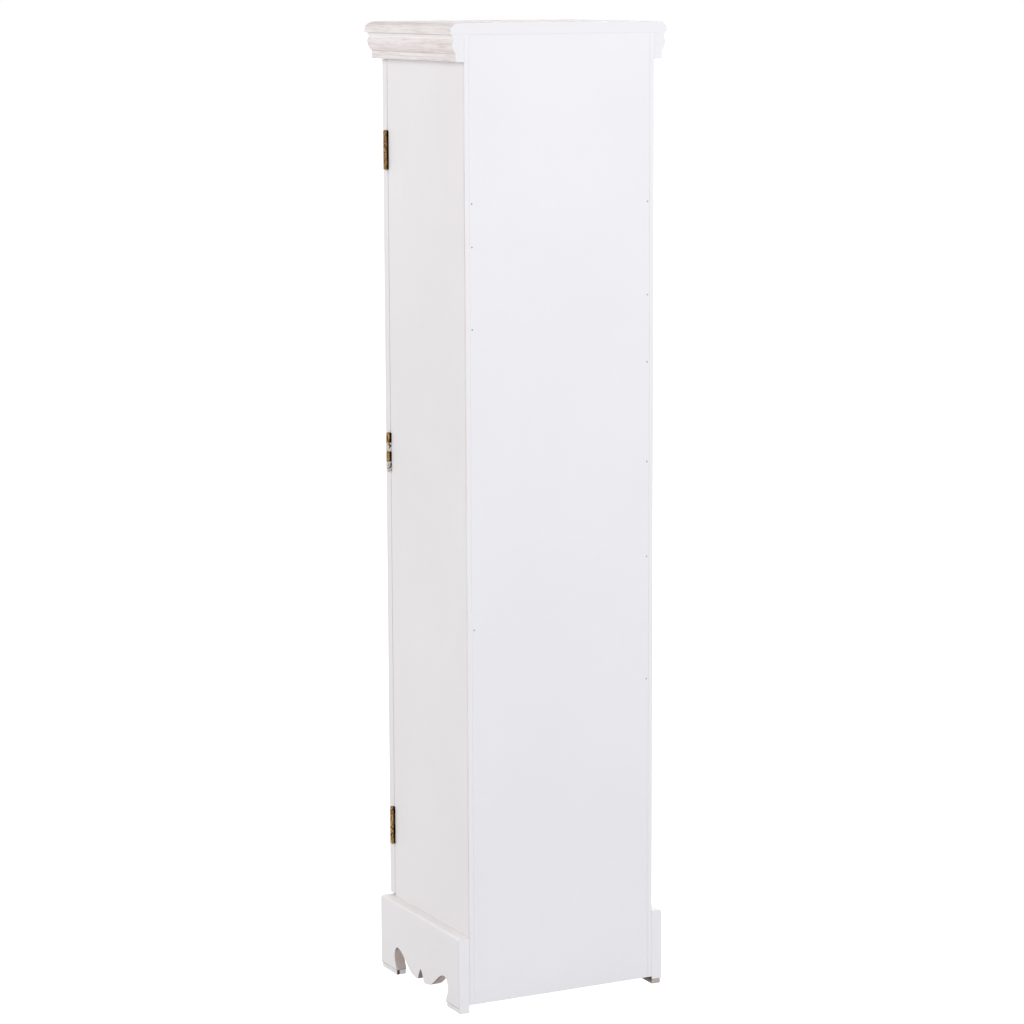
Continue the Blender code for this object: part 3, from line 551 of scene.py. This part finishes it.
def soft_shading_nodes():
    """Welds a node's corners and shades it smooth, leaving every edge above 50 degrees sharp."""
    group = bpy.data.node_groups.new("soft_shading", "GeometryNodeTree")
    for way in ("INPUT", "OUTPUT"):
        group.interface.new_socket("Geometry", in_out=way, socket_type="NodeSocketGeometry")
    add = group.nodes.new
    entry, leave = add("NodeGroupInput"), add("NodeGroupOutput")
    bare = add("GeometryNodeRemoveAttribute")
    bare.inputs["Name"].default_value = "custom_normal"
    weld = add("GeometryNodeMergeByDistance")
    weld.inputs["Distance"].default_value = 0.00001
    faces = add("GeometryNodeSetShadeSmooth")
    edges = add("GeometryNodeSetShadeSmooth")
    edges.domain = "EDGE"
    edges.inputs["Shade Smooth"].default_value = False
    angle = add("GeometryNodeInputMeshEdgeAngle")
    steep = add("FunctionNodeCompare")
    steep.operation = "GREATER_THAN"
    steep.inputs["B"].default_value = radians(50)
    link = group.links.new
    link(angle.outputs["Unsigned Angle"], steep.inputs["A"])
    link(steep.outputs["Result"], edges.inputs["Selection"])
    chain = (entry, bare, weld, faces, edges, leave)
    for first, second in zip(chain, chain[1:]):
        link(first.outputs[0], second.inputs[0])
    return group


# ---------------------------------------------------------------- mesh helpers
def new_piece(name, mesh, material):
    piece = bpy.data.objects.new(name, mesh)
    SCENE.collection.objects.link(piece)
    if not mesh.materials:
        mesh.materials.append(material)
    return piece


def evaluated_mesh(ob, name):
    bpy.context.view_layer.update()
    depsgraph = bpy.context.evaluated_depsgraph_get()
    mesh = bpy.data.meshes.new_from_object(ob.evaluated_get(depsgraph))
    mesh.name = name
    return mesh


def rounded_block(name, low, high, radius):
    """A closed block with well-rounded edges, the flat pattern that a pad is stuffed from."""
    mesh = bpy.data.meshes.new(name)
    bm = bmesh.new()
    bmesh.ops.create_cube(bm, size=1.0)
    bmesh.ops.scale(bm, vec=high - low, verts=bm.verts)
    bmesh.ops.translate(bm, vec=(low + high) / 2, verts=bm.verts)
    bmesh.ops.bevel(
        bm, geom=list(bm.edges), offset=radius, segments=4, profile=0.5, affect="EDGES"
    )
    bm.to_mesh(mesh)
    bm.free()
    return mesh


# ---------------------------------------------------------------- padded pieces
CLOTH_FRAMES = 20


def stuffed(name, pattern, voxel, pressure, cap):
    """Cloth sewn to the pattern and blown up; no point moves further than cap."""
    shape = bpy.data.objects.new(name + "_pattern", pattern)
    SCENE.collection.objects.link(shape)
    remesh = shape.modifiers.new("remesh", "REMESH")
    remesh.mode = "VOXEL"
    remesh.voxel_size = voxel
    start = evaluated_mesh(shape, name)
    bpy.data.objects.remove(shape)
    body = bpy.data.objects.new(name + "_cloth", start)
    SCENE.collection.objects.link(body)
    cloth = body.modifiers.new("cloth", "CLOTH")
    cloth.settings.quality = 6
    cloth.settings.mass = 0.20
    cloth.settings.tension_stiffness = 12.0
    cloth.settings.compression_stiffness = 12.0
    cloth.settings.bending_stiffness = 0.08
    cloth.settings.use_pressure = True
    cloth.settings.uniform_pressure_force = pressure
    cloth.settings.effector_weights.gravity = 0.0
    cloth.point_cache.frame_start = 1
    cloth.point_cache.frame_end = CLOTH_FRAMES
    for step in range(1, CLOTH_FRAMES + 1):
        SCENE.frame_set(step)
    puffed = evaluated_mesh(body, name + "_puffed")
    for before, after in zip(start.vertices, puffed.vertices):
        move = after.co - before.co
        if move.length > cap:
            move *= cap / move.length
        before.co += move
    SCENE.frame_set(1)
    bpy.data.objects.remove(body)
    bpy.data.meshes.remove(puffed)
    return start


def hold_inside(mesh, low, high):
    """Keeps a stuffed piece in the room it has, pressed flat where it meets what is round it."""
    for vertex in mesh.vertices:
        for axis in range(3):
            vertex.co[axis] = min(max(vertex.co[axis], low[axis]), high[axis])


def seamed_edge(name, low, high, radius, wire, material):
    """Piping round a pad: a cord in its casing, along the pad's outline at half height."""
    curve = bpy.data.curves.new(name, "CURVE")
    curve.dimensions = "3D"
    curve.bevel_depth = wire
    curve.bevel_resolution = 3
    spline = curve.splines.new("POLY")
    points = []
    z = low.z + (high.z - low.z) * 0.5
    corners = ((high.x, high.y, 0), (low.x, high.y, 90), (low.x, low.y, 180), (high.x, low.y, 270))
    for x, y, start in corners:
        inward_x = -radius if x == high.x else radius
        inward_y = -radius if y == high.y else radius
        for step in range(7):
            angle = radians(start + 15 * step)
            points.append(
                (x + inward_x + radius * cos(angle), y + inward_y + radius * sin(angle), z)
            )
    spline.points.add(len(points) - 1)
    for point, place in zip(spline.points, points):
        point.co = (*place, 1)
    spline.use_cyclic_u = True
    holder = bpy.data.objects.new(name, curve)
    SCENE.collection.objects.link(holder)
    mesh = evaluated_mesh(holder, name)
    mesh.shade_smooth()
    bpy.data.objects.remove(holder)
    return new_piece(name, mesh, material)


def finish_soft(piece, body, fill, *replaced):
    piece.data.shade_smooth()
    subdivision = piece.modifiers.new("subdivision", "SUBSURF")
    subdivision.levels = 1
    subdivision.render_levels = 1
    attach(piece, body)
    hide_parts(*replaced)


def thin_pads(velvet):
    """Three thin velvet pads, crowned in the middle and piped round the edge."""
    wire = 0.0011
    for node in ("shelf_pad", "floor_pad_right", "floor_pad_left"):
        low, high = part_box(node)
        rim = Vector((2 * wire, 2 * wire, 0))
        base = rounded_block(node, low + rim, high - rim, 0.0016)
        mesh = stuffed(node + "_velvet", base, 0.0026, 5.0, 0.0030)
        crown = Vector((0, 0, 0.0022))
        hold_inside(mesh, low + rim, high - rim + crown)
        piece = new_piece(node + "_velvet", mesh, velvet)
        finish_soft(piece, "carcass", 0.5, node)
        outer = Vector((wire, wire, 0))
        piping = seamed_edge(node + "_piping", low + outer, high - outer, 0.004, wire, velvet)
        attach(piping, "carcass")


def ring_rolls(velvet):
    """Four foam rolls in velvet, packed side by side so that they press flat on each other."""
    low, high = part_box("ring_roll_1")
    shrink = Vector((0.002, 0.0015, 0.001))
    base = rounded_block("ring_roll", low + shrink, high - shrink, 0.0085)
    first = stuffed("ring_roll_velvet", base, 0.0036, 6.0, 0.0055)
    for i in range(1, 5):
        node = f"ring_roll_{i}"
        near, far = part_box(node)
        mesh = first.copy()
        mesh.name = node + "_velvet"
        for vertex in mesh.vertices:
            vertex.co.y += near.y - low.y
            if i % 2:
                vertex.co.x *= -1
        if i % 2:
            mesh.flip_normals()
        hold_inside(mesh, near, far + Vector((0, 0, 0.0012)))
        piece = new_piece(node + "_velvet", mesh, velvet)
        finish_soft(piece, "carcass", 0.8, node)
    bpy.data.meshes.remove(first)


def bracelet_bar(velvet):
    """A foam sleeve in velvet on the bar, drawn in a little where its ends enter the sides."""
    node = "bracelet_bar"
    low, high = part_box(node)
    centre, radius = (low + high) / 2, (high.z - low.z) / 2
    mesh = bpy.data.meshes.new(node)
    bm = bmesh.new()
    turn = Matrix.Translation(centre) @ Matrix.Rotation(pi / 2, 4, "Y")
    bmesh.ops.create_cone(
        bm, cap_ends=True, segments=40, radius1=radius - 0.001, radius2=radius - 0.001,
        depth=high.x - low.x, matrix=turn,
    )
    bm.to_mesh(mesh)
    bm.free()
    mesh = stuffed(node + "_velvet", mesh, 0.0032, 3.0, 0.0035)
    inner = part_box("side_panel_right")[0].x
    for vertex in mesh.vertices:
        across = Vector((0, vertex.co.y - centre.y, vertex.co.z - centre.z))
        beyond = abs(vertex.co.x) - inner + 0.004
        room = radius if beyond > 0 else radius + 0.0025
        if across.length > room:
            across *= room / across.length
        vertex.co.y, vertex.co.z = centre.y + across.y, centre.z + across.z
        vertex.co.x = min(max(vertex.co.x, low.x), high.x)
    piece = new_piece(node + "_velvet", mesh, velvet)
    finish_soft(piece, "carcass", 0.85, node)


# ---------------------------------------------------------------- small hardware
def screw_head_mesh(radius):
    """A countersunk head with a cross recess, its face up on local Z at height 0."""
    rise, rim, depth = radius * 0.22, radius * 0.12, radius * 0.55
    profile = [(0, rise), (radius * 0.55, rise * 0.8), (radius * 0.9, rise * 0.25)]
    profile += [(radius, 0), (radius, -rim), (radius * 0.4, -depth), (0, -depth)]
    mesh = bpy.data.meshes.new("screw_head")
    bm = bmesh.new()
    vertices = [bm.verts.new((r, 0, z)) for r, z in profile]
    for first, second in zip(vertices, vertices[1:]):
        bm.edges.new((first, second))
    bmesh.ops.spin(
        bm, geom=list(bm.verts) + list(bm.edges), axis=(0, 0, 1), cent=(0, 0, 0),
        angle=2 * pi, steps=28, use_merge=True,
    )
    bmesh.ops.remove_doubles(bm, verts=bm.verts, dist=1e-7)
    bmesh.ops.recalc_face_normals(bm, faces=bm.faces)
    bm.to_mesh(mesh)
    bm.free()
    head = bpy.data.objects.new("screw_head", mesh)
    SCENE.collection.objects.link(head)
    arm, slot = radius * 1.25, radius * 0.24
    blades = []
    for size in ((arm, slot, radius), (slot, arm, radius)):
        blade_mesh = bpy.data.meshes.new("screw_blade")
        bm = bmesh.new()
        bmesh.ops.create_cube(bm, size=1.0)
        bmesh.ops.scale(bm, vec=size, verts=bm.verts)
        bmesh.ops.translate(bm, vec=(0, 0, radius * 0.45), verts=bm.verts)
        bm.to_mesh(blade_mesh)
        bm.free()
        blade = bpy.data.objects.new("screw_blade", blade_mesh)
        SCENE.collection.objects.link(blade)
        cut = head.modifiers.new("recess", "BOOLEAN")
        cut.operation = "DIFFERENCE"
        cut.solver = "EXACT"
        cut.object = blade
        blades.append(blade)
    finished = evaluated_mesh(head, "screw_head")
    for ob in (head, *blades):
        bpy.data.objects.remove(ob)
    return finished


def placed_copies(name, source, places, material):
    """One mesh made of copies of source, one for each matrix."""
    mesh = bpy.data.meshes.new(name)
    bm = bmesh.new()
    for matrix in places:
        start = len(bm.verts)
        bm.from_mesh(source)
        bm.verts.ensure_lookup_table()
        bmesh.ops.transform(bm, matrix=matrix, verts=bm.verts[start:])
    bm.to_mesh(mesh)
    bm.free()
    mesh.materials.clear()
    mesh.shade_smooth()
    mesh.set_sharp_from_angle(angle=radians(35))
    return new_piece(name, mesh, material)


def hinge_screws(brass):
    """Three screws in each leaf; they face the gap between the leaves."""
    head = screw_head_mesh(0.0021)
    chance = random.Random(4)
    for level in ("upper", "middle", "lower"):
        for leaf, body, facing in (("case", "carcass", -1), ("door", "door", 1)):
            low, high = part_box(f"hinge_{level}_{leaf}_leaf")
            pin_low, pin_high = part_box(f"hinge_{level}_pin")
            pin = (pin_low + pin_high) / 2
            reach = (pin_high.x - pin_low.x) / 2
            plate_middle = (low.x + pin.x - reach) / 2
            inner = pin.y - facing * 0.0019
            length = high.z - low.z
            places = []
            for share in (-0.33, 0.0, 0.33):
                at = Matrix.Translation((plate_middle, inner, pin.z + share * length))
                lean = Matrix.Rotation(facing * -pi / 2, 4, "X")
                twist = Matrix.Rotation(chance.uniform(0, pi), 4, "Z")
                places.append(at @ lean @ twist)
            piece = placed_copies(f"hinge_{level}_{leaf}_screws", head, places, brass)
            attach(piece, body)
    bpy.data.meshes.remove(head)


def brad_mesh(radius, proud):
    """A small round nail head with a softened rim, its face up on local Z."""
    profile = [(0, proud), (radius * 0.6, proud * 0.95), (radius * 0.92, proud * 0.55)]
    profile += [(radius, 0), (radius, -radius), (0, -radius)]
    mesh = bpy.data.meshes.new("brad")
    bm = bmesh.new()
    vertices = [bm.verts.new((r, 0, z)) for r, z in profile]
    for first, second in zip(vertices, vertices[1:]):
        bm.edges.new((first, second))
    bmesh.ops.spin(
        bm, geom=list(bm.verts) + list(bm.edges), axis=(0, 0, 1), cent=(0, 0, 0),
        angle=2 * pi, steps=14, use_merge=True,
    )
    bmesh.ops.remove_doubles(bm, verts=bm.verts, dist=1e-7)
    bmesh.ops.recalc_face_normals(bm, faces=bm.faces)
    bm.to_mesh(mesh)
    bm.free()
    return mesh


def back_brads(steel, paint):
    """Nails along both edges of the back panel: some heads bare, the rest painted over."""
    low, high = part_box("back_panel")
    inset = 0.0030
    bare = {-1: (0.407, 0.566, 0.688, 0.815, 0.900, 1.017), 1: (0.493, 0.868, 0.969, 1.022)}
    covered = {
        -1: (0.060, 0.175, 0.292, 1.120, 1.198),
        1: (0.055, 0.165, 0.270, 0.380, 0.610, 0.735, 1.125, 1.200),
    }
    for name, heights, material, proud in (
        ("back_brads", bare, steel, 0.00018),
        ("back_brads_painted", covered, paint, 0.00012),
    ):
        source = brad_mesh(0.0011, proud)
        places = []
        for side, levels in heights.items():
            x = high.x - inset if side > 0 else low.x + inset
            for z in levels:
                at = Matrix.Translation((x, high.y, z))
                places.append(at @ Matrix.Rotation(-pi / 2, 4, "X"))
        piece = placed_copies(name, source, places, material)
        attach(piece, "carcass")
        bpy.data.meshes.remove(source)


def seam_paint(paint):
    """Paint that bridges the seams of the back: strips, a little hollow, between the boards."""
    panel_low, panel_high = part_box("back_panel")
    case_low, case_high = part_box("side_panel_right")
    lid_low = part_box("top_board")[0]
    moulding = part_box("cornice_moulding_right")
    back, gap, corner = panel_high.y, 0.0003, 0.0008
    clear = 0.0006  # how far a strip stops short of a board's rounded end
    skirt_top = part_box("skirt_right")[1].z - clear
    runs = []
    for side, cover in ((-1, 1.6), (1, 0.5)):  # the paint fills more of the left seam's corners
        seam = Vector((side * (case_high.x + gap / 2), back, panel_low.z))
        filled = gap + corner * cover
        runs.append((seam, Vector((0, 0, skirt_top - panel_low.z)), filled, 0.00005))
        seam = Vector((side * (panel_high.x + gap / 2), back, panel_low.z))
        runs.append((seam, Vector((0, 0, panel_high.z - panel_low.z)), gap, 0.00012))
        outer = case_high.x + (gap - corner) / 2
        seam = Vector((side * outer, back, moulding[0].z))
        runs.append((seam, Vector((0, 0, moulding[1].z - moulding[0].z)), gap + corner, 0.00005))
    reach = moulding[1].x - clear
    seam = Vector((-reach, back, lid_low.z - gap / 2))
    runs.append((seam, Vector((2 * reach, 0, 0)), gap, 0.00010))
    mesh = bpy.data.meshes.new("seam_paint")
    bm = bmesh.new()
    for start, along, width, below in runs:
        add_strip(bm, start, along, width, below)
    bead, front = 0.0011, case_low.y + 0.0030
    drawn = Vector((0, back - corner - front, 0))
    for side in (-1, 1):
        for z, rise in ((skirt_top + clear, 1), (moulding[0].z, -1)):
            start = Vector((side * case_high.x, front, z))
            out, up = Vector((side, 0, 0)), Vector((0, 0, rise))
            section = [up * bead, (out + up) * bead * 0.32, out * bead]
            section += [out * bead - up * 0.0002, -up * 0.0004 - out * 0.0001]
            add_prism(bm, [start + point for point in section], drawn)
    bmesh.ops.recalc_face_normals(bm, faces=bm.faces)
    bm.to_mesh(mesh)
    bm.free()
    piece = new_piece("seam_paint", mesh, paint)
    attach(piece, "carcass")


def add_strip(bm, start, along, width, below):
    """A closed strip on the back: its face is hollow, its root narrower than its face."""
    across = Vector((0, 1, 0)).cross(along).normalized() * width
    inset, hollow, depth, root = 0.02, 0.00008, 0.0007, 0.2
    section = []
    for i in range(7):
        share = i / 6
        sink = below + hollow * sin(pi * share)
        section.append(start + across * (share - 0.5) * (1 - inset) - Vector((0, sink, 0)))
    section.append(start + across * root / 2 - Vector((0, depth, 0)))
    section.append(start - across * root / 2 - Vector((0, depth, 0)))
    add_prism(bm, section, along)


def add_prism(bm, section, along):
    """A closed bar with the given section, drawn out along a vector."""
    rings = [[bm.verts.new(point + end) for point in section] for end in (Vector(), along)]
    count = len(section)
    for i in range(count):
        j = (i + 1) % count
        bm.faces.new((rings[0][i], rings[0][j], rings[1][j], rings[1][i]))
    bm.faces.new(rings[0])
    bm.faces.new(rings[1])


# ---------------------------------------------------------------- floor and light
FLOOR_TONE = 0.42
FLOOR_GLOW = 0.33  # lights the underside of the cabinet
FLOOR_VEIL = 0.78  # seen by the camera alone, so that shadows on the floor stay soft and pale
SKY = 1.09


def make_floor():
    """A plain white studio floor with pale shadows."""
    size = 160.0
    mesh = bpy.data.meshes.new("floor")
    bm = bmesh.new()
    bmesh.ops.create_grid(bm, x_segments=1, y_segments=1, size=size / 2)
    bm.to_mesh(mesh)
    bm.free()
    floor = bpy.data.objects.new("floor", mesh)
    SCENE.collection.objects.link(floor)
    floor.location.z = LOW.z - 0.0004
    look = Finish("studio_floor", roughness=0.9)
    look.set("Base Color", (FLOOR_TONE, FLOOR_TONE, FLOOR_TONE))
    look.set("Specular IOR Level", 0.1)
    look.set("Emission Color", (1.0, 1.0, 1.0))
    seen = look.node("LightPath", out="Is Camera Ray")
    glow = look.math("ADD", look.times(seen, FLOOR_VEIL), FLOOR_GLOW)
    look.set("Emission Strength", glow)
    mesh.materials.append(look.material)


def make_world():
    """Even studio air: white to the camera, and a little dimmer overhead."""
    world = bpy.data.worlds.new("studio")
    SCENE.world = world
    world.use_nodes = True
    tree = world.node_tree
    tree.nodes.clear()
    output = tree.nodes.new("ShaderNodeOutputWorld")
    both = tree.nodes.new("ShaderNodeMixShader")
    seen = tree.nodes.new("ShaderNodeBackground")
    seen.inputs["Strength"].default_value = 1.0
    seen.inputs["Color"].default_value = (1.0, 1.0, 1.0, 1.0)
    air = tree.nodes.new("ShaderNodeBackground")
    air.inputs["Strength"].default_value = SKY
    place = tree.nodes.new("ShaderNodeTexCoord")
    split = tree.nodes.new("ShaderNodeSeparateXYZ")
    ramp = tree.nodes.new("ShaderNodeValToRGB")
    ramp.color_ramp.elements[0].position = 0.15
    ramp.color_ramp.elements[0].color = (0.97, 0.97, 0.97, 1.0)
    ramp.color_ramp.elements[1].position = 1.0
    ramp.color_ramp.elements[1].color = (0.22, 0.22, 0.23, 1.0)
    path = tree.nodes.new("ShaderNodeLightPath")
    link = tree.links.new
    link(place.outputs["Generated"], split.inputs[0])
    link(split.outputs["Z"], ramp.inputs[0])
    link(ramp.outputs["Color"], air.inputs["Color"])
    link(path.outputs["Is Camera Ray"], both.inputs[0])
    link(air.outputs[0], both.inputs[1])
    link(seen.outputs[0], both.inputs[2])
    link(both.outputs[0], output.inputs["Surface"])


def softbox(name, place, target, size, power, colour):
    data = bpy.data.lights.new(name, "AREA")
    data.shape = "RECTANGLE"
    data.size, data.size_y = size
    data.energy = power
    data.color = colour
    light = bpy.data.objects.new(name, data)
    SCENE.collection.objects.link(light)
    light.location = place
    light.rotation_euler = (Vector(target) - Vector(place)).to_track_quat("-Z", "Y").to_euler()
    light.visible_camera = False


def make_lights():
    middle = (0.0, 0.0, 0.75)
    softbox("rear_softbox", (-0.3, 2.1, 2.0), middle, (1.6, 1.6), 20.7, (0.95, 0.97, 1.0))
    softbox("front_softbox", (-2.4, -3.2, 2.1), middle, (1.8, 1.8), 46.0, (1.0, 0.99, 0.97))
    softbox("side_softbox", (2.4, -0.5, 2.0), middle, (1.4, 1.4), 18.4, (1.0, 0.98, 0.97))


# ---------------------------------------------------------------- making
SCENE.view_settings.view_transform = "Standard"
make_camera()
make_world()
make_floor()
make_lights()
LOOKS = finish_cad_nodes()
thin_pads(LOOKS["grey_velvet"])
ring_rolls(LOOKS["grey_velvet"])
bracelet_bar(LOOKS["grey_velvet"])
hinge_screws(LOOKS["aged_brass"])
back_brads(nail_steel(), LOOKS["painted_hardboard"])
seam_paint(LOOKS["white_paint"])
